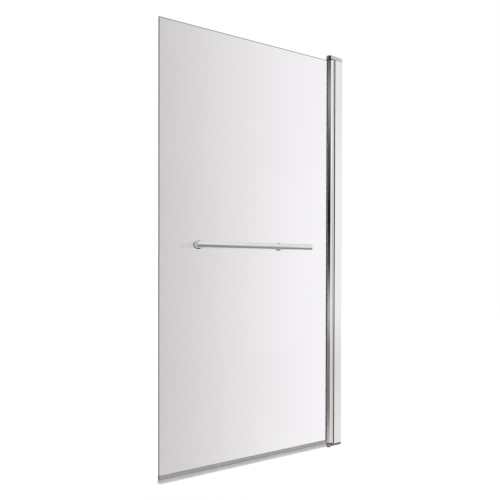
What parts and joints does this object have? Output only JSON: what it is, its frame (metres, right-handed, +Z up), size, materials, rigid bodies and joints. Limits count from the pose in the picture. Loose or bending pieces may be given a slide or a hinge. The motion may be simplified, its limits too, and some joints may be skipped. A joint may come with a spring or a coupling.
{
  "type": "bath screen",
  "caption": "Hinged glass bath screen on a slim wall column, with a towel rail and a drip seal along its lower edge.",
  "frame": {"origin": "the point of the hinge axis at the level of the bath rim, on the underside of the bottom cap", "axes": "+Z up along the hinge axis; +X from the hinge axis to the wall, so the glass runs towards -X at rest; -Y towards the room, where the towel rail is, and +Y over the bath"},
  "size_m": [0.785, 0.0678, 1.4347],
  "materials": {
    "chrome": "polished chrome plate",
    "bright_profile": "bright polished and anodised aluminium",
    "steel": "stainless steel, satin",
    "glass": "clear toughened glass with green edges",
    "black_seal": "black rubber",
    "clear_gasket": "translucent soft plastic",
    "seal_clip": "translucent grey plastic",
    "seal_fins": "translucent soft plastic",
    "white_plastic": "moulded white plastic",
    "black_plastic": "moulded black plastic"
  },
  "bodies": {
    "wall_side": {"wall_channel": "bright_profile", "wiper_front": "black_seal", "wiper_rear": "black_seal"},
    "post": {"hinge_post": "bright_profile", "post_seal_front": "black_seal", "post_seal_rear": "black_seal", "top_bracket": "steel", "bottom_bracket": "steel", "top_pin": "steel", "bottom_pin": "steel", "thrust_washer": "black_plastic", "bracket_screws": "steel", "top_cap": "chrome", "bottom_cap": "chrome", "adjusting_screws": "steel", "plain_washers": "steel", "screw_covers": "chrome"},
    "screen": {"hinge_profile": "bright_profile", "top_bush": "black_plastic", "bottom_bush": "black_plastic", "gasket_front": "clear_gasket", "gasket_rear": "clear_gasket", "glass_packers": "white_plastic", "glass_panel": "glass", "seal_clip": "seal_clip", "seal_fins": "seal_fins", "rail_tube": "chrome", "rail_cap_far": "chrome", "rail_cap_near": "chrome", "rail_post_far": "chrome", "rail_post_near": "chrome", "rail_flange_far": "chrome", "rail_flange_near": "chrome", "rear_disc_far": "chrome", "rear_disc_near": "chrome", "front_washers": "clear_gasket", "rear_washers": "clear_gasket", "glass_bushes": "white_plastic", "rail_bolts": "steel"}
  },
  "joints": [
    {"name": "width_adjust", "type": "slide", "parent": "wall_side", "child": "post", "axis": [-1, 0, 0], "range_m": [0, 0.015]},
    {"name": "swing", "type": "hinge", "parent": "post", "child": "screen", "pos_m": [0, 0, 0], "axis": [0, 0, 1], "range_deg": [-90, 90]}
  ]
}
